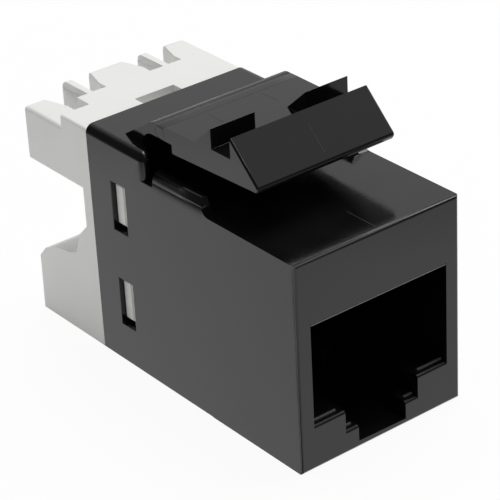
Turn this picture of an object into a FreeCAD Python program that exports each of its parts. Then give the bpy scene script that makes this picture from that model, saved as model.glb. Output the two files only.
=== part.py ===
import FreeCAD, Part
import math
import os
import re
import Sketcher

# Keystone jack: a moulded housing with a flexing top latch, a rear termination block,
# and inside them a contact carrier, eight spring contacts, a circuit board and eight
# insulation-displacement blades.
# Axes: X across the width, Y from the plug opening (-Y) to the wire side (+Y), Z up.
# Each piece is drawn with Y measured from the front face; its Placement then centres it.

V = FreeCAD.Vector
doc = FreeCAD.newDocument("keystone_jack")

# ---------------------------------------------------------------- driving sizes
SIZES = [
    # outside of the housing
    ("body_width", 14.5),
    ("front_height", 16.2),
    ("block_height", 18.3),
    ("housing_length", 23.0),
    ("overall_length", 31.1),
    ("edge_radius", 0.25),
    ("lip_radius", 0.25),
    ("rim_radius", 0.1),
    ("block_edge_radius", 0.65),
    ("block_front", 17.8),
    ("cheek_reach", 1.5),
    ("cheek_flat", 0.6),
    ("cheek_radius", 0.45),
    # rails beside the latch
    ("rail_front", 9.6),
    ("rail_lean", 0.5),
    ("rail_rear", 15.3),
    ("rail_height", 1.1),
    ("rail_wall", 0.85),
    ("rail_round", 0.6),
    ("rail_toe", 0.95),
    # latch lever
    ("lever_inset", 1.25),
    ("hinge_y", 15.6),
    ("neck_top", 20.35),
    ("neck_thick", 0.95),
    ("ridge_y", 16.6),
    ("root_foot", 19.9),
    ("root_radius", 1.2),
    ("socket_gap", 0.04),
    ("ramp_foot", 11.9),
    ("crest_y", 9.8),
    ("crest_top", 22.2),
    ("notch_floor", 20.7),
    ("wedge_y", 7.75),
    ("wedge_toe_y", 4.9),
    ("wedge_toe_top", 19.45),
    ("toe_radius", 0.28),
    ("tip_y", 5.15),
    ("tip_bottom", 19.05),
    ("tip_radius", 0.12),
    ("plate_rear", 14.35),
    ("plate_bottom", 18.6),
    ("channel_width", 4.4),
    ("lever_edge", 0.15),
    # plug opening
    ("port_wall", 1.2),
    ("port_top", 11.3),
    ("port_floor", 3.45),
    ("port_depth", 12.5),
    ("step_width", 6.6),
    ("step_floor", 1.8),
    ("slot_width", 4.3),
    ("slot_floor", 0.5),
    ("catch_depth", 1.6),
    ("catch_length", 7.4),
    # inside the housing
    ("nose_wall", 1.6),
    ("tunnel_wall", 1.65),
    ("tunnel_top", 15.0),
    ("bulkhead", 13.95),
    ("bay_wall", 1.1),
    ("bay_floor", 1.2),
    ("upper_bay_run", 3.6),
    ("upper_bay_top", 17.1),
    ("upper_bay_wall", 1.45),
    # snap windows in the side walls
    ("window_back", 4.3),
    ("window_length", 1.7),
    ("window_tall", 3.85),
    ("upper_window", 11.0),
    ("lower_window", 3.15),
    # fits
    ("slide_fit", 0.05),
    ("snap_gap", 0.3),
    ("tab_sink", 0.5),
    # contact carrier
    ("carrier_nose", 3.6),
    ("carrier_radius", 1.27),
    ("carrier_axis", 12.75),
    ("carrier_step", 0.6),
    ("groove_width", 0.6),
    # contacts
    ("contact_pitch", 1.02),
    ("wire_size", 0.45),
    ("wire_thick", 0.35),
    ("bend_radius", 1.55),
    ("arm_slope", 20.0),
    ("arm_length", 7.5),
    ("tail_gap", 0.05),
    # circuit board
    ("board_gap", 0.05),
    ("board_thick", 1.6),
    ("board_hole", 0.6),
    ("blade_hole", 1.0),
    # wire block
    ("rear_gap", 0.03),
    ("plug_gap", 0.5),
    ("web_thick", 1.07),
    ("arm_bottom", 12.9),
    ("arm_top", 17.98),
    ("arm_round", 0.6),
    ("arm_edge", 0.2),
    ("low_end_run", 4.9),
    ("low_end_top", 17.05),
    ("tooth_half", 0.25),
    ("tooth_shoulder", 17.45),
    ("tooth_foot", 16.15),
    ("slot_run", 3.3),
    ("slot_gap", 0.5),
    ("slot_mouth", 1.9),
    ("slot_pitch", 2.4),
    ("slot_side", 2.6),
    ("slot_bottom", 13.9),
    ("lead_in", 2.4),
    ("low_lip", 4.6),
    ("low_slope_top", 5.5),
    ("low_hump_rear", 6.15),
    ("low_hump", 6.4),
    ("low_hump_front", 6.5),
    ("low_hollow", 6.9),
    ("low_hollow_top", 8.6),
    ("low_web_top", 9.7),
    ("lip_in", 0.2),
    ("slope_in", 1.0),
    ("hump_in", 2.3),
    ("hump_out", 3.6),
    ("hump_near", 2.6),
    ("hollow_out", 1.7),
    ("hollow_in", 1.1),
    ("low_slot_top", 4.2),
    ("recess_width", 3.5),
    ("recess_run", 1.62),
    ("recess_depth", 0.9),
    # blades
    ("blade_back", 2.8),
    ("blade_thick", 0.4),
    ("blade_width", 1.5),
    ("blade_leg", 0.8),
    ("blade_low", 13.3),
    ("blade_tip", 16.4),
    ("low_leg", 3.9),
    ("low_tip", 1.2),
    ("blade_slit", 0.3),
    ("slit_deep", 2.0),
    ("slit_lead", 0.5),
    ("blade_room", 0.04),
    # how far a sketch reaches into or past the piece it joins or cuts
    ("overlap", 0.5),
]

# sizes that follow from the ones above
DERIVED = [
    ("lever_width", "body_width - 2 * lever_inset"),
    ("port_width", "body_width - 2 * port_wall"),
    ("tunnel_width", "body_width - 2 * tunnel_wall"),
    ("bay_width", "body_width - 2 * bay_wall"),
    ("upper_bay_width", "body_width - 2 * upper_bay_wall"),
    ("upper_bay_front", "housing_length - upper_bay_run"),
    ("window_front", "housing_length - window_back"),
    ("window_rear", "window_front + window_length"),
    ("cheek_front", "block_front - cheek_reach"),
    ("board_front", "bulkhead + board_gap"),
    ("tail_end", "board_front + tail_gap"),
    ("plug_front", "board_front + board_thick + plug_gap"),
    ("web_rear", "housing_length + web_thick"),
    ("recess_rear", "housing_length + recess_run"),
    ("slot_front", "overall_length - slot_run"),
    ("low_end_front", "overall_length - low_end_run"),
    ("blade_y", "overall_length - blade_back"),
    ("slot_outer", "body_width / 2 - slot_side"),
    ("slot_inner", "slot_outer - slot_pitch"),
]

sheet = doc.addObject("Spreadsheet::Sheet", "Dims")
lines = [(word, str(size)) for word, size in SIZES] + [(word, "=" + rule) for word, rule in DERIVED]
for row, (word, entry) in enumerate(lines, start=1):
    sheet.set(f"A{row}", word)
    sheet.set(f"B{row}", entry)
    sheet.setAlias(f"B{row}", word)
doc.recompute()
WORDS = {word for word, entry in lines}


def cells(text):
    """Point every size word of an expression at its cell."""
    return re.sub(r"[a-z_]+", lambda m: "Dims." + m.group(0) if m.group(0) in WORDS else m.group(0), text)


def value(text):
    """The number that an expression gives now."""
    found = sheet.evalExpression(cells(text))
    return float(getattr(found, "Value", found))


def bind(thing, prop, text):
    thing.setExpression(prop, cells(text))


def origin_plane(body, role):
    for item in body.Origin.OriginFeatures:
        if item.Role == role:
            return item
    raise RuntimeError(role)


def new_body(label):
    body = doc.addObject("PartDesign::Body", label)
    body.Label = label
    bind(body, "Placement.Base.y", "-overall_length / 2")
    return body


def new_sketch(body, name, role, offset=None):
    sketch = body.newObject("Sketcher::SketchObject", name)
    sketch.AttachmentSupport = (origin_plane(body, role), [""])
    sketch.MapMode = "FlatFace"
    if offset:
        bind(sketch, "AttachmentOffset.Base.z", offset)
    return sketch


def outline(sketch, corners):
    """A closed outline whose corners are bound to the sheet."""
    first = sketch.GeometryCount
    spots = [V(value(across), value(up), 0) for across, up in corners]
    count = len(spots)
    for i in range(count):
        sketch.addGeometry(Part.LineSegment(spots[i], spots[(i + 1) % count]), False)
    for i in range(count):
        sketch.addConstraint(Sketcher.Constraint("Coincident", first + i, 2, first + (i + 1) % count, 1))
    for i, (across, up) in enumerate(corners):
        for kind, text, number in (("DistanceX", across, spots[i].x), ("DistanceY", up, spots[i].y)):
            index = sketch.addConstraint(Sketcher.Constraint(kind, -1, 1, first + i, 1, number))
            sketch.setExpression(f"Constraints[{index}]", cells(text))


def ring(sketch, across, up, radius):
    """A circle whose centre and radius are bound to the sheet."""
    index = sketch.GeometryCount
    sketch.addGeometry(Part.Circle(V(value(across), value(up), 0), V(0, 0, 1), value(radius)), False)
    for kind, text in (("DistanceX", across), ("DistanceY", up)):
        at = sketch.addConstraint(Sketcher.Constraint(kind, -1, 1, index, 3, value(text)))
        sketch.setExpression(f"Constraints[{at}]", cells(text))
    at = sketch.addConstraint(Sketcher.Constraint("Radius", index, value(radius)))
    sketch.setExpression(f"Constraints[{at}]", cells(radius))


def box_corners(left, right, low, high):
    return [(left, low), (right, low), (right, high), (left, high)]


def pad(body, sketch, name, length, middle=False, flip=False):
    feature = body.newObject("PartDesign::Pad", name)
    feature.Profile = sketch
    bind(feature, "Length", length)
    feature.SideType = "Symmetric" if middle else "One side"
    feature.Reversed = flip
    sketch.Visibility = False
    doc.recompute()
    return feature


def pocket(body, sketch, name, length, middle=False, flip=False):
    before = body.Shape.Volume
    feature = body.newObject("PartDesign::Pocket", name)
    feature.Profile = sketch
    bind(feature, "Length", length)
    feature.SideType = "Symmetric" if middle else "One side"
    feature.Reversed = flip
    doc.recompute()
    if body.Shape.Volume > before - 1e-6:
        raise RuntimeError(name + " removed nothing")
    return feature


def edge_names(shape, test):
    found = []
    for number, edge in enumerate(shape.Edges, start=1):
        box = edge.BoundBox
        if test(box, edge):
            found.append(f"Edge{number}")
    return found


def round_edges(body, name, radius, test):
    """Fillet the edges of the body that pass the test."""
    base = body.Tip
    names = edge_names(base.Shape, test)
    if not names:
        raise RuntimeError(name + " found no edge")
    feature = body.newObject("PartDesign::Fillet", name)
    feature.Base = (base, names)
    bind(feature, "Radius", radius)
    doc.recompute()
    if not feature.isValid() or feature.Shape.isNull() or not feature.Shape.isValid():
        raise RuntimeError(f"{name} failed on {names}: {feature.getStatusString()}")
    return feature


def near(a, b, slack=0.02):
    return abs(a - b) < slack


def along_x(box, y, z):
    """An edge parallel to X at this Y and Z."""
    return box.YLength < 1e-4 and box.ZLength < 1e-4 and near(box.YMin, y) and near(box.ZMin, z)


# ---------------------------------------------------------------- housing
body = new_body("housing")
sketch = new_sketch(body, "SideOutline", "YZ_Plane")
outline(sketch, [("0", "0"), ("housing_length", "0"), ("housing_length", "block_height"),
                 ("block_front", "block_height"), ("block_front", "front_height"), ("0", "front_height")])
pad(body, sketch, "Shell", "body_width", middle=True)

# root of the latch, rising from the top of the block to the neck
sketch = new_sketch(body, "RootOutline", "YZ_Plane")
outline(sketch, [("hinge_y", "neck_top"), ("ridge_y", "neck_top"), ("root_foot", "block_height"),
                 ("root_foot", "block_height - overlap"), ("block_front", "block_height - overlap"),
                 ("block_front", "neck_top - neck_thick"), ("hinge_y", "neck_top - neck_thick")])
pad(body, sketch, "Root", "lever_width", middle=True)
shoulder = value("neck_top - neck_thick")
round_edges(body, "RootRadius", "root_radius",
            lambda box, edge: along_x(box, value("block_front"), shoulder))
half = value("lever_width / 2")
round_edges(body, "RidgeRound", "root_radius / 2",
            lambda box, edge: along_x(box, value("ridge_y"), value("neck_top")))
sketch = new_sketch(body, "SocketCircle", "YZ_Plane")
ring(sketch, "hinge_y", "neck_top - neck_thick / 2", "neck_thick / 2 + socket_gap")
pocket(body, sketch, "Socket", "lever_width + 1", middle=True)

# cheeks that reach forward beside the root of the latch, cut back towards the middle
sketch = new_sketch(body, "CheekOutline", "XY_Plane", "front_height - overlap")
for side in ("-", ""):
    corners = [(side + "body_width / 2", "cheek_front"),
               (side + "(body_width / 2 - cheek_flat)", "cheek_front"),
               (side + "(lever_width / 2 + cheek_flat / 2)", "(cheek_front + block_front) / 2"),
               (side + "lever_width / 2", "block_front"),
               (side + "lever_width / 2", "block_front + overlap"),
               (side + "body_width / 2", "block_front + overlap")]
    outline(sketch, corners)
pad(body, sketch, "Cheeks", "block_height - front_height + overlap")

# rails along both sides of the deck
for side, name, start in (("left", "LeftRail", "-body_width / 2"),
                          ("right", "RightRail", "body_width / 2 - rail_wall")):
    sketch = new_sketch(body, name + "Outline", "YZ_Plane", start)
    outline(sketch, [("rail_front", "front_height - overlap"), ("rail_rear", "front_height - overlap"),
                     ("rail_rear", "front_height + rail_height"),
                     ("rail_front + rail_lean", "front_height + rail_height"),
                     ("rail_front", "front_height")])
    pad(body, sketch, name, "rail_wall")

# plug opening with its two steps, and the catch behind its lower lip
sketch = new_sketch(body, "PortOutline", "XZ_Plane")
outline(sketch, [("-port_width / 2", "port_top"), ("-port_width / 2", "port_floor"),
                 ("-step_width / 2", "port_floor"), ("-step_width / 2", "step_floor"),
                 ("-slot_width / 2", "step_floor"), ("-slot_width / 2", "slot_floor"),
                 ("slot_width / 2", "slot_floor"), ("slot_width / 2", "step_floor"),
                 ("step_width / 2", "step_floor"), ("step_width / 2", "port_floor"),
                 ("port_width / 2", "port_floor"), ("port_width / 2", "port_top")])
pocket(body, sketch, "Port", "port_depth")
sketch = new_sketch(body, "CatchOutline", "XZ_Plane", "-catch_depth")
outline(sketch, box_corners("-step_width / 2", "step_width / 2", "slot_floor", "port_floor"))
pocket(body, sketch, "Catch", "catch_length")

# space for the carrier above the opening, and the bay for board and wire block
sketch = new_sketch(body, "TunnelOutline", "XZ_Plane", "-nose_wall")
outline(sketch, box_corners("-tunnel_width / 2", "tunnel_width / 2", "port_top - overlap", "tunnel_top"))
pocket(body, sketch, "Tunnel", "bulkhead - nose_wall + slide_fit")
sketch = new_sketch(body, "BayOutline", "XZ_Plane", "-bulkhead")
outline(sketch, box_corners("-bay_width / 2", "bay_width / 2", "bay_floor", "tunnel_top"))
pocket(body, sketch, "Bay", "housing_length - bulkhead")
sketch = new_sketch(body, "UpperBayOutline", "XZ_Plane", "-upper_bay_front")
outline(sketch, box_corners("-upper_bay_width / 2", "upper_bay_width / 2",
                            "tunnel_top - overlap", "upper_bay_top"))
pocket(body, sketch, "UpperBay", "housing_length - upper_bay_front")

# snap windows through both side walls
sketch = new_sketch(body, "WindowOutline", "YZ_Plane")
for low in ("upper_window", "lower_window"):
    outline(sketch, box_corners("window_front", "window_rear", low, low + " + window_tall"))
pocket(body, sketch, "Windows", "body_width + 1", middle=True)

# moulded edges
wide = value("body_width / 2")
deck = value("front_height")
top = value("block_height")
rail_top = value("front_height + rail_height")
cheek = value("cheek_front")
length = value("housing_length")


def block_side(box, edge):
    return near(box.ZMin, top) and near(box.ZMax, top) and near(abs(box.XMin), wide) and box.XLength < 1e-4


def rail_side(box, edge):
    level = near(box.ZMin, rail_top) and box.ZLength < 1e-4
    return level and near(abs(box.XMin), wide) and box.XLength < 1e-4


def rail_foot(box, edge):
    return along_x(box, value("rail_front"), deck) and box.XLength < value("rail_wall") + 0.1


def cheek_corner(box, edge):
    upright = box.XLength < 1e-4 and box.YLength < 1e-4 and near(abs(box.XMin), wide)
    return upright and near(box.YMin, cheek) and box.ZMax > deck


def front_edge(box, edge):
    if not (box.YLength < 1e-4 and near(box.YMin, 0)):
        return False
    upright = near(abs(box.XMin), wide) and box.XLength < 1e-4 and box.ZLength > 5
    level = box.ZLength < 1e-4 and (near(box.ZMin, 0) or near(box.ZMin, deck)) and box.XLength > 5
    return upright or level


def port_lip(box, edge):
    """The front edges of the two ledges in the opening."""
    level = box.YLength < 1e-4 and near(box.YMin, 0) and box.ZLength < 1e-4 and box.XLength < 5
    return level and (near(box.ZMin, value("port_floor")) or near(box.ZMin, value("step_floor")))


round_edges(body, "CheekCorners", "cheek_radius", cheek_corner)
round_edges(body, "BlockSides", "block_edge_radius", block_side)
round_edges(body, "RailToes", "rail_toe", rail_foot)
round_edges(body, "RailSides", "rail_round", rail_side)
round_edges(body, "FrontEdges", "edge_radius", front_edge)
round_edges(body, "PortLips", "lip_radius", port_lip)
round_edges(body, "PortTopEdge", "rim_radius",
            lambda box, edge: along_x(box, 0, value("port_top")))
housing = body

# ---------------------------------------------------------------- latch lever
body = new_body("latch_lever")
sketch = new_sketch(body, "LeverOutline", "YZ_Plane")
outline(sketch, [("hinge_y", "neck_top"), ("ramp_foot", "neck_top"), ("crest_y", "crest_top"),
                 ("crest_y", "notch_floor"), ("wedge_y", "notch_floor"), ("wedge_y", "crest_top"),
                 ("wedge_toe_y", "wedge_toe_top"), ("tip_y", "tip_bottom"),
                 ("plate_rear", "plate_bottom"), ("plate_rear", "neck_top - neck_thick"),
                 ("hinge_y", "neck_top - neck_thick")])
pad(body, sketch, "Lever", "lever_width", middle=True)
sketch = new_sketch(body, "HingeCircle", "YZ_Plane")
ring(sketch, "hinge_y", "neck_top - neck_thick / 2", "neck_thick / 2")
pad(body, sketch, "HingeEnd", "lever_width", middle=True)
sketch = new_sketch(body, "ChannelOutline", "YZ_Plane")
outline(sketch, [("wedge_y", "neck_top"), ("ramp_foot + overlap", "neck_top"),
                 ("ramp_foot + overlap", "crest_top + overlap"), ("wedge_y", "crest_top + overlap")])
pocket(body, sketch, "Channel", "channel_width", middle=True)
toe_y = value("wedge_toe_y")
toe_z = value("wedge_toe_top")
round_edges(body, "WedgeToe", "toe_radius", lambda box, edge: along_x(box, toe_y, toe_z))
round_edges(body, "WedgeTip", "tip_radius",
            lambda box, edge: along_x(box, value("tip_y"), value("tip_bottom")))


def wedge_side(box, edge):
    flat = box.XLength < 1e-4 and near(abs(box.XMin), half)
    sloped = box.YLength > 1.5 and box.ZLength > 1.5 and box.YMax < value("wedge_y") + 0.05
    return flat and sloped


round_edges(body, "WedgeSides", "lever_edge", wedge_side)
lever = body

# ---------------------------------------------------------------- contact carrier
body = new_body("contact_carrier")
sketch = new_sketch(body, "CarrierOutline", "YZ_Plane")
outline(sketch, [("carrier_nose", "carrier_axis - carrier_radius"),
                 ("bulkhead - slide_fit", "carrier_axis - carrier_radius"),
                 ("bulkhead - slide_fit", "tunnel_top - slide_fit"),
                 ("carrier_nose + carrier_step", "tunnel_top - slide_fit"),
                 ("carrier_nose + carrier_step", "carrier_axis + carrier_radius"),
                 ("carrier_nose", "carrier_axis + carrier_radius")])
pad(body, sketch, "Carrier", "tunnel_width - 2 * slide_fit", middle=True)
sketch = new_sketch(body, "NoseCircle", "YZ_Plane")
ring(sketch, "carrier_nose", "carrier_axis", "carrier_radius")
pad(body, sketch, "Nose", "tunnel_width - 2 * slide_fit", middle=True)
sketch = new_sketch(body, "CombOutline", "XZ_Plane", "-carrier_nose")
wire_row = "carrier_axis + bend_radius"
for place in range(8):
    centre = f"({place} - 3.5) * contact_pitch"
    outline(sketch, box_corners(centre + " - groove_width / 2", centre + " + groove_width / 2",
                                wire_row + " - wire_thick / 2 - slide_fit", "tunnel_top + overlap"))
pocket(body, sketch, "Comb", "bulkhead - carrier_nose + overlap")
carrier = body

# ---------------------------------------------------------------- circuit board
body = new_body("circuit_board")
sketch = new_sketch(body, "BoardOutline", "XZ_Plane", "-board_front")
outline(sketch, box_corners("-bay_width / 2 + 3 * slide_fit", "bay_width / 2 - 3 * slide_fit",
                            "bay_floor + slide_fit", "tunnel_top - slide_fit"))
for place in range(8):
    ring(sketch, f"({place} - 3.5) * contact_pitch", wire_row, "board_hole / 2")
for row in ("blade_low + blade_thick / 2", "low_leg - blade_thick / 2"):
    for spot in ("-slot_outer", "-slot_inner", "slot_inner", "slot_outer"):
        outline(sketch, box_corners(spot + " - blade_hole / 2", spot + " + blade_hole / 2",
                                    row + " - blade_thick / 2 - slide_fit",
                                    row + " + blade_thick / 2 + slide_fit"))
pad(body, sketch, "Board", "board_thick", flip=True)
board = body

# ---------------------------------------------------------------- port contacts
def contact_wire():
    """Centre line of one spring contact: tail, run over the carrier, bend, spring arm."""
    radius = value("bend_radius")
    nose = value("carrier_nose")
    axis = value("carrier_axis")
    turn = math.radians(270 - value("arm_slope"))
    middle = math.radians((90 + 270 - value("arm_slope")) / 2)
    start = V(0, value("board_front + board_thick + plug_gap - 2 * slide_fit"), axis + radius)
    bend = V(0, nose, axis + radius)
    outer = V(0, nose + radius * math.cos(middle), axis + radius * math.sin(middle))
    leave = V(0, nose + radius * math.cos(turn), axis + radius * math.sin(turn))
    slope = math.radians(value("arm_slope"))
    end = leave + V(0, math.cos(slope), -math.sin(slope)) * value("arm_length")
    edges = [Part.LineSegment(start, bend).toShape(), Part.Arc(bend, outer, leave).toShape(),
             Part.LineSegment(leave, end).toShape()]
    path = Part.Wire(edges)
    across = value("wire_size / 2")
    thick = value("wire_thick / 2")
    corners = [start + V(x, 0, z) for x, z in ((-across, -thick), (across, -thick), (across, thick),
                                               (-across, thick), (-across, -thick))]
    return path.makePipeShell([Part.makePolygon(corners)], True, False)


contacts = []
wire = contact_wire()
if not wire.isValid() or wire.Volume <= 0:
    raise RuntimeError("contact wire")
for place in range(8):
    contact = doc.addObject("Part::Feature", f"jack_contact_{place + 1}")
    contact.Label = f"jack_contact_{place + 1}"
    contact.Shape = wire.copy()
    bind(contact, "Placement.Base.x", f"({place} - 3.5) * contact_pitch")
    bind(contact, "Placement.Base.y", "-overall_length / 2")
    contacts.append(contact)

# ---------------------------------------------------------------- wire block
body = new_body("wire_block")
sketch = new_sketch(body, "BlockOutline", "YZ_Plane")
outline(sketch, [("housing_length + rear_gap", "0"), ("overall_length - lip_in / 2", "0"),
                 ("overall_length - lip_in", "low_lip"), ("overall_length - slope_in", "low_slope_top"),
                 ("overall_length - hump_in", "low_hump_rear"), ("overall_length - hump_out", "low_hump"),
                 ("web_rear + hump_near", "low_hump_front"), ("web_rear + hollow_out", "low_hollow"),
                 ("web_rear + hollow_in", "low_hollow_top"), ("web_rear", "low_web_top"),
                 ("web_rear", "arm_bottom"), ("overall_length", "arm_bottom"),
                 ("overall_length", "arm_top"), ("housing_length + rear_gap", "arm_top")])
pad(body, sketch, "Block", "body_width - slide_fit", middle=True)
round_edges(body, "RearRound", "arm_round",
            lambda box, edge: along_x(box, value("overall_length"), value("arm_top")))
arm_side = value("body_width / 2 - slide_fit / 2")


def top_side(box, edge):
    """The long edges along both sides of the upper arm."""
    return near(abs(box.XMin), arm_side) and box.XLength < 1e-4 and near(box.ZMin, value("arm_top"))


round_edges(body, "TopSides", "arm_edge", top_side)
# the part that plugs into the bay, and its step into the upper bay
sketch = new_sketch(body, "PlugOutline", "XZ_Plane", "-plug_front")
outline(sketch, box_corners("-bay_width / 2 + slide_fit", "bay_width / 2 - slide_fit",
                            "bay_floor + slide_fit", "tunnel_top - slide_fit"))
pad(body, sketch, "Plug", "housing_length + overlap - plug_front", flip=True)
sketch = new_sketch(body, "TongueOutline", "XZ_Plane", "-(upper_bay_front + slide_fit)")
outline(sketch, box_corners("-upper_bay_width / 2 + slide_fit", "upper_bay_width / 2 - slide_fit",
                            "tunnel_top - overlap", "upper_bay_top - slide_fit"))
pad(body, sketch, "Tongue", "housing_length + overlap - upper_bay_front", flip=True)
# snap tabs that stand in the side windows
sketch = new_sketch(body, "TabOutline", "YZ_Plane")
for low in ("upper_window", "lower_window"):
    outline(sketch, box_corners("window_front + snap_gap", "window_rear - snap_gap - 2 * slide_fit",
                                low + " + snap_gap", low + " + window_tall - snap_gap"))
pad(body, sketch, "Tabs", "body_width - 2 * tab_sink", middle=True)

# pockets for the blades, from the front of the plug to behind the forks
leg = "blade_leg / 2 + blade_room"
sketch = new_sketch(body, "LegOutline", "XZ_Plane", "-plug_front")
for spot in ("-slot_outer", "-slot_inner", "slot_inner", "slot_outer"):
    outline(sketch, box_corners(f"{spot} - ({leg})", f"{spot} + {leg}",
                                "blade_low - blade_room", "blade_low + blade_thick + blade_room"))
    outline(sketch, box_corners(f"{spot} - ({leg})", f"{spot} + {leg}",
                                "low_leg - blade_thick - blade_room", "low_leg + blade_room"))
pocket(body, sketch, "Legs", "blade_y + blade_thick + blade_room - plug_front")
fork = "blade_width / 2 + blade_room"
sketch = new_sketch(body, "ForkOutline", "XZ_Plane", "-(blade_y - blade_room)")
for spot in ("-slot_outer", "-slot_inner", "slot_inner", "slot_outer"):
    outline(sketch, box_corners(f"{spot} - ({fork})", f"{spot} + {fork}",
                                "blade_low - blade_room", "blade_tip + blade_room"))
    outline(sketch, box_corners(f"{spot} - ({fork})", f"{spot} + {fork}",
                                "low_tip - blade_room", "low_leg + blade_room"))
pocket(body, sketch, "Forks", "blade_thick + 2 * blade_room")


def slot_corners(spot):
    """Plan of one wire slot: a narrow slot that opens in a V towards the rear."""
    return [(spot + " - slot_gap / 2", "slot_front"), (spot + " + slot_gap / 2", "slot_front"),
            (spot + " + slot_gap / 2", "overall_length - lead_in"),
            (spot + " + slot_mouth / 2", "overall_length + slide_fit"),
            (spot + " - slot_mouth / 2", "overall_length + slide_fit"),
            (spot + " - slot_gap / 2", "overall_length - lead_in")]


# wire slots of the upper row, open at the top, and of the lower row, open below
sketch = new_sketch(body, "UpperSlots", "XY_Plane", "slot_bottom")
for spot in ("-slot_outer", "-slot_inner", "slot_inner", "slot_outer"):
    outline(sketch, slot_corners(spot))
pocket(body, sketch, "UpperSlotCut", "arm_top", flip=True)
sketch = new_sketch(body, "LowerSlots", "XY_Plane", "low_slot_top")
for spot in ("-slot_outer", "-slot_inner", "slot_inner", "slot_outer"):
    outline(sketch, slot_corners(spot))
pocket(body, sketch, "LowerSlotCut", "low_slot_top + overlap")
# recess in the top against the housing, and the lowered outer towers
sketch = new_sketch(body, "RecessOutline", "XY_Plane", "arm_top + overlap")
outline(sketch, box_corners("-recess_width / 2", "recess_width / 2", "housing_length", "recess_rear"))
pocket(body, sketch, "Recess", "recess_depth + overlap")
# the lower end of the upper row, left of the first slot
sketch = new_sketch(body, "LowEndOutline", "XZ_Plane", "-low_end_front")
outline(sketch, box_corners("-(body_width / 2 + overlap)", "-slot_outer",
                            "low_end_top", "arm_top + overlap"))
pocket(body, sketch, "LowEnd", "low_end_run + overlap")
# splitting teeth between the two slots of a pair: sloping flanks below a narrow rib
sketch = new_sketch(body, "ToothOutline", "XZ_Plane", "-slot_front")
tooth = "(slot_inner + slot_outer) / 2"
for side in ("-", ""):
    for sign, spot in (("-", "slot_inner"), ("+", "slot_outer")):
        edge = f"{side}({tooth} {sign} tooth_half)"
        outline(sketch, [(side + spot, "tooth_foot"), (edge, "tooth_shoulder"),
                         (edge, "arm_top + overlap"), (side + spot, "arm_top + overlap")])
pocket(body, sketch, "Teeth", "slot_run + overlap")
round_edges(body, "LowEndRound", "arm_round / 2",
            lambda box, edge: along_x(box, value("overall_length"), value("low_end_top")))
block = body

# ---------------------------------------------------------------- blades
blades = []
ROWS = (("blade_low", "blade_low + blade_thick", "blade_tip"),
        ("low_leg", "low_leg - blade_thick", "low_tip"))
for row, (near_edge, far_edge, tip) in enumerate(ROWS):
    for place, spot in enumerate(("-slot_outer", "-slot_inner", "slot_inner", "slot_outer")):
        number = row * 4 + place + 1
        body = new_body(f"idc_blade_{number}")
        sketch = new_sketch(body, "ForkSide", "YZ_Plane", spot)
        outline(sketch, [("blade_y", near_edge), ("blade_y + blade_thick", near_edge),
                         ("blade_y + blade_thick", tip), ("blade_y", tip)])
        pad(body, sketch, "Fork", "blade_width", middle=True)
        sketch = new_sketch(body, "LegSide", "YZ_Plane", spot)
        outline(sketch, [("tail_end", near_edge), ("blade_y + blade_thick", near_edge),
                         ("blade_y + blade_thick", far_edge), ("tail_end", far_edge)])
        pad(body, sketch, "Leg", "blade_leg", middle=True)
        sketch = new_sketch(body, "SlitFront", "XZ_Plane", "-(blade_y - slide_fit)")
        rise = "-" if row == 0 else "+"
        outline(sketch, [(spot + " - blade_slit / 2", f"{tip} {rise} slit_deep"),
                         (spot + " + blade_slit / 2", f"{tip} {rise} slit_deep"),
                         (spot + " + blade_slit / 2", f"{tip} {rise} slit_lead"),
                         (spot + " + blade_slit", tip), (spot + " - blade_slit", tip),
                         (spot + " - blade_slit / 2", f"{tip} {rise} slit_lead")])
        pocket(body, sketch, "Slit", "blade_thick + 2 * slide_fit")
        blades.append(body)

# ---------------------------------------------------------------- checks and export
doc.recompute()
for item in doc.Objects:
    if "Invalid" in item.State or "Error" in item.State:
        raise RuntimeError(f"{item.Name}: {item.State}")
pieces = [housing, lever, carrier, board, block] + contacts + blades
os.makedirs("parts", exist_ok=True)
for item in pieces:
    shape = item.Shape
    if shape.isNull() or not shape.isValid():
        raise RuntimeError(item.Label + " is not a valid shape")
    if len(shape.Solids) != 1:
        raise RuntimeError(f"{item.Label} has {len(shape.Solids)} solids")
    shape.exportStep(f"parts/{item.Label}.step")
    box = shape.BoundBox
    print(f"{item.Label:18s} {shape.Volume:9.2f} mm3  X {box.XMin:.2f}..{box.XMax:.2f}"
          f"  Y {box.YMin:.2f}..{box.YMax:.2f}  Z {box.ZMin:.2f}..{box.ZMax:.2f}")
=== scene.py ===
import math
import bpy
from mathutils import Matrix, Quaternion, Vector


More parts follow.
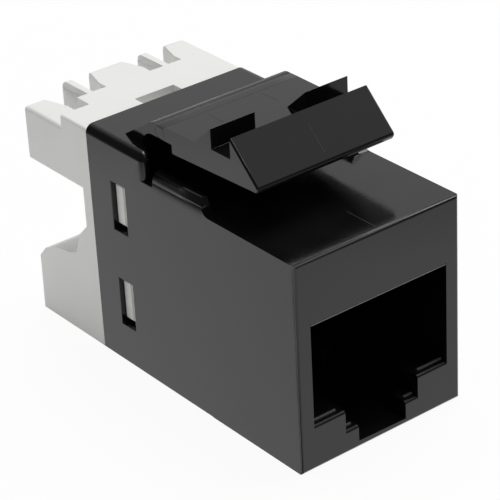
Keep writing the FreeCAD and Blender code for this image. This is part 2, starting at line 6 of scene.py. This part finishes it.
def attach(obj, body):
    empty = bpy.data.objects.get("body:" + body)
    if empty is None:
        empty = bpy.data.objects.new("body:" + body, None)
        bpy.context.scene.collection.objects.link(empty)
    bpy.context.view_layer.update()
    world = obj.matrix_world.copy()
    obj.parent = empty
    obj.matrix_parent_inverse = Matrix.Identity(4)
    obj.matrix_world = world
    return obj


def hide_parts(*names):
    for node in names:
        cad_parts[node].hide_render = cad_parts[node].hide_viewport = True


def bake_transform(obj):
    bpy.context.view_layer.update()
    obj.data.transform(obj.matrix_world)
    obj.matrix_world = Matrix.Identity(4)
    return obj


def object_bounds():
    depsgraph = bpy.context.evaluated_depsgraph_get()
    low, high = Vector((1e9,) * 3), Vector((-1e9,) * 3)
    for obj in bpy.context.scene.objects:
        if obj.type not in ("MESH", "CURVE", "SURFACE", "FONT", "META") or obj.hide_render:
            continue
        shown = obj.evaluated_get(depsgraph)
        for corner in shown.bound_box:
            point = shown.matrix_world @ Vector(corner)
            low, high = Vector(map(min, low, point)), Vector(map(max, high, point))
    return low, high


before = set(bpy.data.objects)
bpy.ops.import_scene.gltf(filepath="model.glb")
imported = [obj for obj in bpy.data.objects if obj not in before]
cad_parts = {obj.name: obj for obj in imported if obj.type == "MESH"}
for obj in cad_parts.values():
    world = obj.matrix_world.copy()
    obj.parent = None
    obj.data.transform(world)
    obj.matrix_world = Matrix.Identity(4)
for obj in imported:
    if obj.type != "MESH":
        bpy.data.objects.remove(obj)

cadBox = [list(corner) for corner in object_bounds()]
mm = 0.001
plugFace = cadBox[0][1]
smoothAngle = math.radians(32)
print("frame loaded:", len(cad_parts), "nodes")


# a wrapped output that adds Math nodes when it is used in an expression
class Wire:
    def __init__(self, tree, output):
        self.tree = tree
        self.output = output

    def math(self, operation, *inputs):
        node = self.tree.nodes.new("ShaderNodeMath")
        node.operation = operation
        for place, item in enumerate(inputs):
            if isinstance(item, Wire):
                self.tree.links.new(item.output, node.inputs[place])
            else:
                node.inputs[place].default_value = item
        return Wire(self.tree, node.outputs[0])

    def __add__(self, other): return self.math("ADD", self, other)
    def __radd__(self, other): return self.math("ADD", other, self)
    def __sub__(self, other): return self.math("SUBTRACT", self, other)
    def __rsub__(self, other): return self.math("SUBTRACT", other, self)
    def __mul__(self, other): return self.math("MULTIPLY", self, other)
    def __truediv__(self, other): return self.math("DIVIDE", self, other)


def clamp(wire):
    # held between 0 and 1
    return wire.math("MINIMUM", wire.math("MAXIMUM", wire, 0.0), 1.0)


def ramp(wire, start, end):
    # 0 before start, 1 after end
    return clamp(wire.math("MULTIPLY_ADD", wire, 1 / (end - start), -start / (end - start)))


# a material under construction; at holds the object coordinates
class Finish:
    def __init__(self, name):
        self.material = bpy.data.materials.new(name)
        self.material.use_nodes = True
        self.tree = self.material.node_tree
        self.tree.nodes.clear()
        self.out = self.tree.nodes.new("ShaderNodeOutputMaterial")
        self.at = self.node("ShaderNodeTexCoord", output=3)

    def node(self, kind, settings=None, inputs=None, output=0):
        made = self.tree.nodes.new(kind)
        for key, item in (settings or {}).items():
            setattr(made, key, item)
        for key, item in (inputs or {}).items():
            if isinstance(item, Wire):
                self.tree.links.new(item.output, made.inputs[key])
            else:
                made.inputs[key].default_value = item
        return Wire(self.tree, made.outputs[output])

    def noise(self, scale, detail):
        return self.node("ShaderNodeTexNoise",
                         inputs={"Vector": self.at, "Scale": scale, "Detail": detail})

    def between(self, factor, first, second):
        return self.node("ShaderNodeMix", {"data_type": "RGBA"},
                         {0: factor, 6: first, 7: second}, output=2)

    def surface(self, shader):
        self.tree.links.new(shader.output, self.out.inputs["Surface"])
        return self.material


# the finishes: a noise less its middle level lets a roughness vary both ways
softDetail, fineDetail, middle = 3.0, 2.0, 0.5

# the darkest colour paints shade into the plug opening
blackSet = {"colour": (0.0035, 0.0035, 0.0038), "lighter": (0.0065, 0.0065, 0.0068),
            "inside": (0.0015, 0.0015, 0.0015, 1), "grain": 5200.0, "cloud": 300.0,
            "rough": 0.12, "cloudRough": 0.2, "grainRough": 0.08, "insideRough": 0.3,
            "bump": 0.00001, "strength": 0.3, "cloudHeight": 2.0, "refraction": 1.48,
            "half": 0.00612, "top": 0.01136, "floor": 0.0004, "lip": 0.00001, "fade": 0.00006}


def insideMask(f):
    # where shade is painted: 1 on the walls of the plug opening, 0 elsewhere
    s = blackSet
    across, back, up = (f.node("ShaderNodeSeparateXYZ", inputs={"Vector": f.at}, output=way)
                        for way in range(3))
    deep = clamp(back.math("SUBTRACT", back, plugFace + s["lip"]) / s["fade"])
    side = across.math("LESS_THAN", across.math("ABSOLUTE", across), s["half"])
    under = up.math("LESS_THAN", up, s["top"])
    over = up.math("GREATER_THAN", up, s["floor"])
    return deep * side * under * over


def blackPlastic(name, shade, lift):
    # shade paints shade into the plug opening; lift lightens the colour into a painted highlight
    s = blackSet
    f = Finish(name)
    cloud = f.noise(s["cloud"], softDetail)
    grain = f.noise(s["grain"], fineDetail)
    colours = [[part * lift for part in s[key]] + [1] for key in ("colour", "lighter")]
    # painted shade: the walls of the plug opening get a darker colour, and a rougher surface
    inside = insideMask(f) * shade
    colour = f.between(inside, f.between(cloud, *colours), s["inside"])
    bump = f.node("ShaderNodeBump", inputs={
        "Height": grain + cloud * s["cloudHeight"], "Strength": s["strength"],
        "Distance": s["bump"]})
    rough = s["rough"] + (cloud - middle) * s["cloudRough"] + (grain - middle) * s["grainRough"]
    shader = f.node("ShaderNodeBsdfPrincipled", inputs={
        "Base Color": colour, "Roughness": rough + inside * s["insideRough"], "Normal": bump,
        "IOR": s["refraction"]})
    return f.surface(shader)


whiteSet = {"colour": (0.88, 0.88, 0.865, 1), "shade": (0.83, 0.825, 0.8, 1),
            "grain": 4200.0, "cloud": 220.0, "rough": 0.42, "cloudRough": 0.1,
            "bump": 0.000006, "strength": 0.25}


def whitePlastic():
    s = whiteSet
    f = Finish("moulded white plastic")
    cloud = f.noise(s["cloud"], softDetail)
    grain = f.noise(s["grain"], fineDetail)
    bump = f.node("ShaderNodeBump", inputs={
        "Height": grain, "Strength": s["strength"], "Distance": s["bump"]})
    shader = f.node("ShaderNodeBsdfPrincipled", inputs={
        "Base Color": f.between(cloud, s["colour"], s["shade"]),
        "Roughness": s["rough"] + (cloud - middle) * s["cloudRough"], "Normal": bump})
    return f.surface(shader)


metalSet = {"streak": 1800.0, "streakRough": 0.16}


def metal(name, colour, dark, rough):
    s = metalSet
    f = Finish(name)
    streak = f.noise(s["streak"], softDetail)
    shader = f.node("ShaderNodeBsdfPrincipled", inputs={
        "Base Color": f.between(streak, colour, dark), "Metallic": 1.0,
        "Roughness": rough + (streak - middle) * s["streakRough"]})
    return f.surface(shader)


laminateSet = {"colour": (0.02, 0.14, 0.05, 1), "thread": (0.035, 0.2, 0.08, 1),
               "weave": 2400.0, "rough": 0.3, "weaveRough": 0.1}


def laminate():
    s = laminateSet
    f = Finish("green laminate")
    weave = f.noise(s["weave"], fineDetail)
    shader = f.node("ShaderNodeBsdfPrincipled", inputs={
        "Base Color": f.between(weave, s["colour"], s["thread"]),
        "Roughness": s["rough"] + weave * s["weaveRough"]})
    return f.surface(shader)


black = blackPlastic("moulded black plastic", 1.0, 1.0)
# lighter blacks that paint a highlight onto raised lips and fine lines
paintedHighlight = blackPlastic("black with a painted highlight", 0.0, 14.0)
paintedGlint = blackPlastic("black with a bright painted highlight", 0.0, 60.0)
white = whitePlastic()
gold = metal("gold-plated wire", (0.83, 0.62, 0.27, 1), (0.7, 0.5, 0.2, 1), 0.28)
tin = metal("tinned sheet", (0.78, 0.78, 0.77, 1), (0.6, 0.6, 0.6, 1), 0.36)
board = laminate()
print("finishes made")


def spot(x, y, z):
    # millimetres, with y counted back from the plug face
    return Vector((x * mm, plugFace + y * mm, z * mm))


def dress(thing, material):
    thing.data.materials.clear()
    thing.data.materials.append(material)


def alone(thing):
    bpy.ops.object.select_all(action="DESELECT")
    thing.select_set(True)
    bpy.context.view_layer.objects.active = thing


# choices are made in object mode, so they are there when edit mode starts
def clearChoice(mesh):
    bpy.ops.object.mode_set(mode="OBJECT")
    for item in list(mesh.vertices) + list(mesh.edges) + list(mesh.polygons):
        item.select = False


def pickEdges(mesh, chosen):
    clearChoice(mesh)
    for edge in mesh.edges:
        if edge.index in chosen:
            edge.select = True
            for corner in edge.vertices:
                mesh.vertices[corner].select = True
    bpy.ops.object.mode_set(mode="EDIT")


mergeSet = {"merge": 0.000001, "flat": 0.8, "fold": 38, "shortest": 0.0004, "segments": 3,
            "normal": 0.5, "large": 0.0000004}


def sharpEdges(mesh):
    # the edges that fold sharply, apart from short ones and those that end at a tiny one
    s = mergeSet
    sides = {}
    for face in mesh.polygons:
        for key in face.edge_keys:
            sides.setdefault(key, []).append(face.normal.copy())
    lengths, nearest = {}, {}
    for edge in mesh.edges:
        first, second = (mesh.vertices[corner].co for corner in edge.vertices)
        lengths[edge.index] = (first - second).length
        for corner in edge.vertices:
            nearest[corner] = min(nearest.get(corner, 1.0), lengths[edge.index])
    found = set()
    for edge in mesh.edges:
        # a face without area has no normal, so it has no fold either
        pair = sides.get(tuple(sorted(edge.vertices)), [])
        if len(pair) != 2 or min(normal.length for normal in pair) < s["normal"]:
            continue
        clear = min(nearest[corner] for corner in edge.vertices) > s["shortest"] / 2
        folded = pair[0].angle(pair[1]) > math.radians(s["fold"])
        if clear and folded and lengths[edge.index] > s["shortest"]:
            found.add(edge.index)
    return found


rollSet = {"low": 15.9, "top": 17.3, "out": 7.25, "wide": 0.6, "front": (8.9, 9.85), "rear": 15.36,
           "levels": (15.9, 16.06, 16.22, 16.36, 16.5, 16.62), "slack": 0.01,
           "runs": (8.95, 9.2, 9.45, 9.7, 9.95, 15.28), "skin": 0.02, "square": 0.9}


def cutAcross(mesh, point, normal):
    # one straight cut across the outer side walls
    s = rollSet
    clearChoice(mesh)
    for face in mesh.polygons:
        if abs(face.center.x) > (s["out"] - s["skin"]) * mm and abs(face.normal.x) > s["square"]:
            face.select = True
    bpy.ops.object.mode_set(mode="EDIT")
    bpy.ops.mesh.bisect(plane_co=point, plane_no=normal)


def rollRails(mesh):
    # beside the latch the outer walls roll inwards softly, up to the top of each rail
    s = rollSet
    bpy.ops.object.mode_set(mode="EDIT")
    bpy.ops.mesh.select_mode(type="FACE")
    for level in s["levels"]:
        cutAcross(mesh, spot(0, 0, level), (0, 0, 1))
    for run in s["runs"]:
        cutAcross(mesh, spot(0, run, 0), (0, 1, 0))
    bpy.ops.mesh.select_mode(type="EDGE")
    bpy.ops.object.mode_set(mode="OBJECT")
    moved = 0
    first, last = s["front"]
    for vertex in mesh.vertices:
        across, back, high = abs(vertex.co.x) / mm, (vertex.co.y - plugFace) / mm, vertex.co.z / mm
        beside = across >= s["out"] - s["wide"] + s["slack"]
        if not (beside and first < back < s["rear"] and s["low"] < high < s["top"]):
            continue
        # a quarter of an ellipse in height, which starts gently at the front end
        part = (high - s["low"]) / (s["top"] - s["low"])
        inset = s["wide"] * (1 - math.sqrt(max(0.0, 1 - part * part)))
        start = min(1.0, (back - first) / (last - first))
        inset *= start * start * (3 - 2 * start)
        vertex.co.x = math.copysign(min(across, s["out"] - inset) * mm, vertex.co.x)
        moved += 1
    mesh.update()
    print("rails rolled:", moved, "points")


def rolled(point):
    # true on the walls that rollRails has bent
    s = rollSet
    back = (point.y - plugFace) / mm
    beside = abs(point.x) > (s["out"] - s["wide"]) * mm and point.z > s["low"] * mm
    return beside and s["front"][0] < back < s["rear"]


def keepFlat(mesh):
    # a large flat face keeps its own normals right up to its border
    largest = {}
    for face in mesh.polygons:
        if not rolled(face.center):
            for key in face.edge_keys:
                largest[key] = max(largest.get(key, 0.0), face.area)
    for edge in mesh.edges:
        if largest.get(tuple(sorted(edge.vertices)), 0.0) > mergeSet["large"]:
            edge.use_edge_sharp = True


# width of the softened edges, body and slot of each moulding
refineSet = {"housing": (0.00006, "jack", "black_body"),
             "latch_lever": (0.00003, "latch", "black_body"),
             "wire_block": (0.00009, "jack", "white_block")}


def refine(node, material):
    # a merged copy of the CAD node with softened edges, which stands for it
    width, body, slot = refineSet[node]
    s = mergeSet
    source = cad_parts[node]
    piece = bpy.data.objects.new(node + "Moulding", source.data.copy())
    bpy.context.collection.objects.link(piece)
    alone(piece)
    mesh = piece.data
    bpy.ops.object.mode_set(mode="EDIT")
    bpy.ops.mesh.select_mode(type="EDGE")
    bpy.ops.mesh.select_all(action="SELECT")
    bpy.ops.mesh.remove_doubles(threshold=s["merge"])
    bpy.ops.mesh.dissolve_limited(angle_limit=math.radians(s["flat"]))
    bpy.ops.object.mode_set(mode="OBJECT")
    if node == "housing":
        rollRails(mesh)
    sharp = sharpEdges(mesh)
    pickEdges(mesh, sharp)
    bpy.ops.mesh.bevel(offset=width, segments=s["segments"], profile=0.5, clamp_overlap=True)
    bpy.ops.object.mode_set(mode="OBJECT")
    bpy.ops.object.shade_smooth_by_angle(angle=smoothAngle)
    keepFlat(mesh)
    dress(piece, material)
    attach(piece, body)
    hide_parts(node)
    print(node, "refined:", len(sharp), "edges,", len(mesh.polygons), "faces")


for node, material in (("housing", black), ("latch_lever", black), ("wire_block", white)):
    dress(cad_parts[node], material)
    refine(node, material)
dress(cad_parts["contact_carrier"], black)
dress(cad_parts["circuit_board"], board)
for number in range(1, 9):
    dress(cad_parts[f"jack_contact_{number}"], gold)
    dress(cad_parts[f"idc_blade_{number}"], tin)


def settle(piece, name, material, body):
    # everything a finished piece gets: placed at the origin, smooth, dressed and riding its body
    alone(piece)
    piece.name = name
    bpy.ops.object.transform_apply(location=True, rotation=True, scale=True)
    bpy.ops.object.shade_smooth_by_angle(angle=smoothAngle)
    dress(piece, material)
    if body:
        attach(piece, body)


def softBlock(low, high, width):
    # a box between two corners with every edge rounded
    bpy.ops.object.select_all(action="DESELECT")
    bpy.ops.mesh.primitive_cube_add(size=1, location=(low + high) / 2)
    piece = bpy.context.object
    piece.scale = high - low
    bpy.ops.object.transform_apply(location=False, rotation=False, scale=True)
    bpy.ops.object.mode_set(mode="EDIT")
    bpy.ops.mesh.select_mode(type="EDGE")
    bpy.ops.mesh.select_all(action="SELECT")
    bpy.ops.mesh.bevel(offset=width, segments=mergeSet["segments"], profile=0.5,
                       clamp_overlap=True)
    bpy.ops.object.mode_set(mode="OBJECT")
    return piece


def thinRod(start, end, radius, sides=10):
    # a round rod between two points
    along = end - start
    turn = along.to_track_quat("Z", "Y").to_euler()
    bpy.ops.object.select_all(action="DESELECT")
    bpy.ops.mesh.primitive_cylinder_add(vertices=sides, radius=radius, depth=along.length,
                                        location=(start + end) / 2, rotation=turn)
    return bpy.context.object


hingeSet = {"half": 6.0, "proud": 0.003, "top": 20.35, "foot": 19.45, "front": 15.2, "rear": 16.0,
            "edge": 0.000002, "steps": 5, "bend": (15.3, 15.9)}


def makeHingeSkin():
    # a thin skin over the sprung root of the latch, across the hinge
    s = hingeSet
    reach = s["half"] + s["proud"]
    skin = softBlock(spot(-reach, s["front"], s["foot"]),
                     spot(reach, s["rear"], s["top"] + s["proud"]), s["edge"])
    bpy.ops.object.mode_set(mode="EDIT")
    bpy.ops.mesh.select_all(action="SELECT")
    bpy.ops.mesh.subdivide(number_cuts=s["steps"], smoothness=0)
    bpy.ops.object.mode_set(mode="OBJECT")
    settle(skin, "hingeSkin", black, None)
    spot(0, s["bend"][1], s["top"])
    spot(0, s["bend"][0], s["top"])
    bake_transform(skin)
    print("hinge skin:", len(skin.data.polygons), "faces")


ridgeSet = {"half": 5.98, "y": 16.34, "radius": 1.0, "top": 20.37, "cut": 19.75, "front": 16.02,
            "sides": 96}


def makeRidgeBead():
    # the soft round along the root of the latch, standing a little proud of its crest
    s = ridgeSet
    level = s["top"] - s["radius"]
    bead = thinRod(spot(-s["half"], s["y"], level), spot(s["half"], s["y"], level),
                   s["radius"] * mm, s["sides"])
    bpy.ops.object.transform_apply(location=True, rotation=True, scale=True)
    bpy.ops.object.mode_set(mode="EDIT")
    # only the cap stays
    for point, normal in ((spot(0, 0, s["cut"]), (0, 0, 1)), (spot(0, s["front"], 0), (0, 1, 0))):
        bpy.ops.mesh.select_all(action="SELECT")
        bpy.ops.mesh.bisect(plane_co=point, plane_no=normal, clear_inner=True, use_fill=True)
    bpy.ops.object.mode_set(mode="OBJECT")
    settle(bead, "ridgeBead", black, "jack")
    print("ridge bead made")


lipSet = {"y": 0.6, "radius": 0.13, "sunk": 0.02, "sides": 16,
          "Wide": (3.45, 3.75, 6.0), "Narrow": (1.8, 2.45, 3.2)}


def makeLedgeLips():
    # raised lips a little way behind the face on the stepped floor of the plug opening; their
    # lighter colour is a painted highlight
    s = lipSet
    for label in ("Wide", "Narrow"):
        height, near, far = s[label]
        for side, sign in (("Left", -1), ("Right", 1)):
            rod = thinRod(spot(sign * near, s["y"], height + s["sunk"]),
                          spot(sign * far, s["y"], height + s["sunk"]),
                          s["radius"] * mm, s["sides"])
            settle(rod, "ledgeLip" + label + side, paintedHighlight, "jack")
    print("ledge lips made")


tabSet = {"y": (19.5, 20.38), "lower": (3.5, 6.65), "upper": (11.35, 14.5), "face": 6.86,
          "back": 6.6, "edge": 0.0001}


def makeTabFaces():
    # the faces of the snap tabs that fill most of each window
    s = tabSet
    for label in ("lower", "upper"):
        for side, sign in (("Left", -1), ("Right", 1)):
            reach = sorted((sign * s["back"], sign * s["face"]))
            low, high = (spot(x, y, z) for x, y, z in zip(reach, s["y"], s[label]))
            settle(softBlock(low, high, s["edge"]), label + "TabFace" + side, white, "jack")
    print("tab faces made")


# both ends, radius, body and finish of each line; a lighter finish paints a highlight along its
# line
lineSet = {"witness": ((0.1, 7.0, 21.47), (0.1, 5.4, 19.93), 0.02, "latch", paintedHighlight),
           "deck": ((0.2, 0.5, 16.2), (0.2, 3.4, 16.2), 0.012, "jack", paintedHighlight),
           # the rim line is a painted highlight along the top edge of the plug opening
           "rim": ((-6.0, 0.03, 11.27), (6.0, 0.03, 11.27), 0.03, "jack", paintedGlint),
           "neckSide": ((-5.88, 12.0, 20.35), (-5.88, 15.7, 20.35), 0.016, "latch", black),
           "neckLeft": ((-2.4, 13.1, 20.35), (-2.4, 14.8, 20.35), 0.012, "latch", black),
           "neckRight": ((2.4, 13.1, 20.35), (2.4, 14.8, 20.35), 0.012, "latch", black)}


def makeFineLines():
    # fine lines: parting lines left by the mould halves, lines along the neck, and a painted
    # highlight along the top edge of the plug opening
    for name, (start, end, radius, body, material) in lineSet.items():
        rod = thinRod(spot(*start), spot(*end), radius * mm)
        settle(rod, name + "Line", material, body)
    print("mould lines made")


makeHingeSkin()
makeRidgeBead()
makeLedgeLips()
makeTabFaces()
makeFineLines()

# reflections see the floor as a bright patch that grows dull from near to far
floorSet = {"size": 0.6, "level": -0.00002, "colour": (0.95, 0.95, 0.95, 1), "seen": 0.94,
            "bright": (1, 1, 1, 1), "dull": (0.12, 0.12, 0.12, 1), "near": 0.038, "far": 0.078}


def makeFloor():
    s = floorSet
    bpy.ops.mesh.primitive_plane_add(size=s["size"], location=(0, 0, s["level"]))
    floor = bpy.context.object
    floor.name = "studioFloor"
    f = Finish("pale floor")
    diffuse = f.node("ShaderNodeBsdfDiffuse", inputs={"Color": s["colour"]})
    seen = f.node("ShaderNodeLightPath", output=0)
    glossy = f.node("ShaderNodeLightPath", output=3)
    away = f.node("ShaderNodeVectorMath", {"operation": "LENGTH"}, {0: f.at}, output=1)
    tint = f.between(ramp(away, s["near"], s["far"]) * glossy, s["bright"], s["dull"])
    glow = f.node("ShaderNodeEmission", inputs={"Color": tint, "Strength": 1.0})
    mixed = f.node("ShaderNodeMixShader",
                   inputs={0: seen * s["seen"] + glossy, 1: diffuse, 2: glow})
    floor.data.materials.append(f.surface(mixed))


# each pair is a slope and an offset; the result is held between 0 and 1
worldSet = {"light": 0.37, "gloss": 0.72, "dim": 0.06, "slope": 0.3, "horizon": 0.97,
            "right": (1.6, 0.5), "ahead": (-3.0, -1.0), "low": (-6.0, 3.6), "table": -0.16}


def makeWorld():
    # reflections are bright towards the right and the table, dim towards the upper left
    s = worldSet
    world = bpy.data.worlds.new("studio")
    bpy.context.scene.world = world
    world.use_nodes = True
    tree = world.node_tree
    tree.nodes.clear()
    out = tree.nodes.new("ShaderNodeOutputWorld")
    back = tree.nodes.new("ShaderNodeBackground")
    back.inputs["Color"].default_value = (1, 1, 1, 1)
    path = tree.nodes.new("ShaderNodeLightPath")
    way = tree.nodes.new("ShaderNodeTexCoord")
    split = tree.nodes.new("ShaderNodeSeparateXYZ")
    tree.links.new(way.outputs["Generated"], split.inputs[0])
    across, deep, up = (Wire(tree, output) for output in split.outputs)
    seen, glossy, through = (Wire(tree, path.outputs[f"Is {kind} Ray"])
                             for kind in ("Camera", "Glossy", "Transmission"))
    right = clamp(across.math("MULTIPLY_ADD", across, *s["right"]))
    ahead = clamp(deep.math("MULTIPLY_ADD", deep, *s["ahead"]))
    low = clamp(up.math("MULTIPLY_ADD", up, *s["low"]))
    table = up.math("LESS_THAN", up, s["table"])
    shade = 1 - ahead * (s["slope"] + low * (s["horizon"] - s["slope"]))
    mirror = right * shade * (s["gloss"] - s["dim"]) + s["dim"]
    mirror = mirror * (1 - table) + table
    plain = (1 - seen) * (1 - glossy) * (1 - through) * s["light"]
    strength = seen + through * (1 - seen) + glossy * mirror + plain
    tree.links.new(strength.output, back.inputs["Strength"])
    tree.links.new(back.outputs[0], out.inputs["Surface"])


keySet = {"where": (0.15, 0.05, 0.38), "aim": (0, 0, 0.01), "size": 0.3, "power": 1.15}


def makeKey():
    # one large soft light above, to the right
    s = keySet
    lamp = bpy.data.lights.new("topSoftbox", "AREA")
    lamp.shape = "RECTANGLE"
    lamp.size = lamp.size_y = s["size"]
    lamp.energy = s["power"]
    thing = bpy.data.objects.new("topSoftbox", lamp)
    bpy.context.collection.objects.link(thing)
    thing.location = s["where"]
    thing.rotation_mode = "QUATERNION"
    thing.rotation_quaternion = (Vector(s["aim"]) - Vector(s["where"])).to_track_quat("-Z", "Y")


cameraSet = {"sensor": 36.0, "lens": 164.8, "near": 0.01, "far": 5.0,
             "azimuth": -37.12, "elevation": 28.94, "roll": -3.1, "distance": 0.16395,
             "target": (0.00002, -0.00145, 0.009)}


def makeCamera():
    s = cameraSet
    data = bpy.data.cameras.new("camera")
    data.sensor_width = s["sensor"]
    data.lens = s["lens"]
    data.clip_start = s["near"]
    data.clip_end = s["far"]
    camera = bpy.data.objects.new("camera", data)
    bpy.context.collection.objects.link(camera)
    azimuth, elevation, roll = (math.radians(s[key]) for key in ("azimuth", "elevation", "roll"))
    back = Vector((math.sin(azimuth) * math.cos(elevation),
                   -math.cos(azimuth) * math.cos(elevation), math.sin(elevation)))
    camera.location = Vector(s["target"]) + back * s["distance"]
    camera.rotation_mode = "QUATERNION"
    camera.rotation_quaternion = (-back).to_track_quat("-Z", "Y") @ Quaternion((0, 0, 1), roll)
    bpy.context.scene.camera = camera


makeFloor()
makeWorld()
makeKey()
makeCamera()
bpy.context.scene.view_settings.view_transform = "Standard"
print("studio made")
